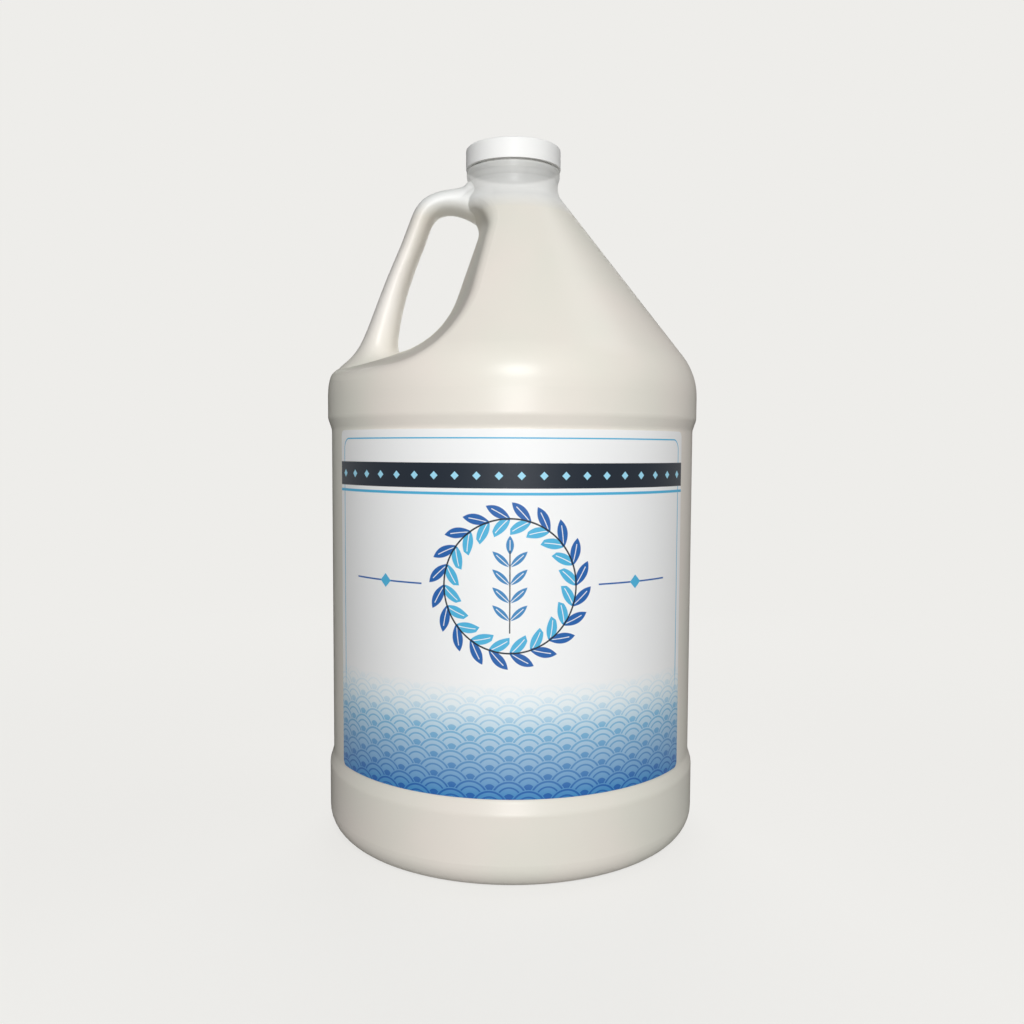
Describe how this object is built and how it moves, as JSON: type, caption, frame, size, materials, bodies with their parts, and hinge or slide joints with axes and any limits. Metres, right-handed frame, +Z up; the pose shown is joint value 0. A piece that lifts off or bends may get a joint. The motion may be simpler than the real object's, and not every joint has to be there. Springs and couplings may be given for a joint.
{
  "type": "handled lotion jug",
  "caption": "Round blow-moulded jug with a hollow side handle at the shoulder, a short neck with a low screw cap, a front label and a fill of cream lotion.",
  "frame": {"origin": "middle of the base, on the plane the jug stands on", "axes": "+Z up along the neck, handle towards -X, label facing -Y"},
  "size_m": [0.155, 0.155, 0.2856],
  "materials": {
    "jug": "satin natural polyethylene, slightly translucent",
    "lotion": "cream lotion",
    "label": "printed white film, satin",
    "liner": "closed-cell foam",
    "cap": "smooth white polypropylene"
  },
  "bodies": {
    "jug": {"jug_body": "jug", "lotion_fill": "lotion", "front_label": "label"},
    "liner": {"cap_liner": "liner"},
    "cap": {"screw_cap": "cap"}
  },
  "joints": [
    {"name": "cap_rise", "type": "slide", "parent": "jug", "child": "liner", "axis": [0, 0, 1], "range_m": [0, 0.00635]},
    {"name": "cap_turn", "type": "hinge", "parent": "liner", "child": "cap", "pos_m": [0, 0, 0.2841], "axis": [0, 0, 1], "range_deg": [0, 540]}
  ],
  "couplings": [
    {"joint": "cap_rise", "follows": "cap_turn", "m_per_rad": 0.00067376}
  ]
}
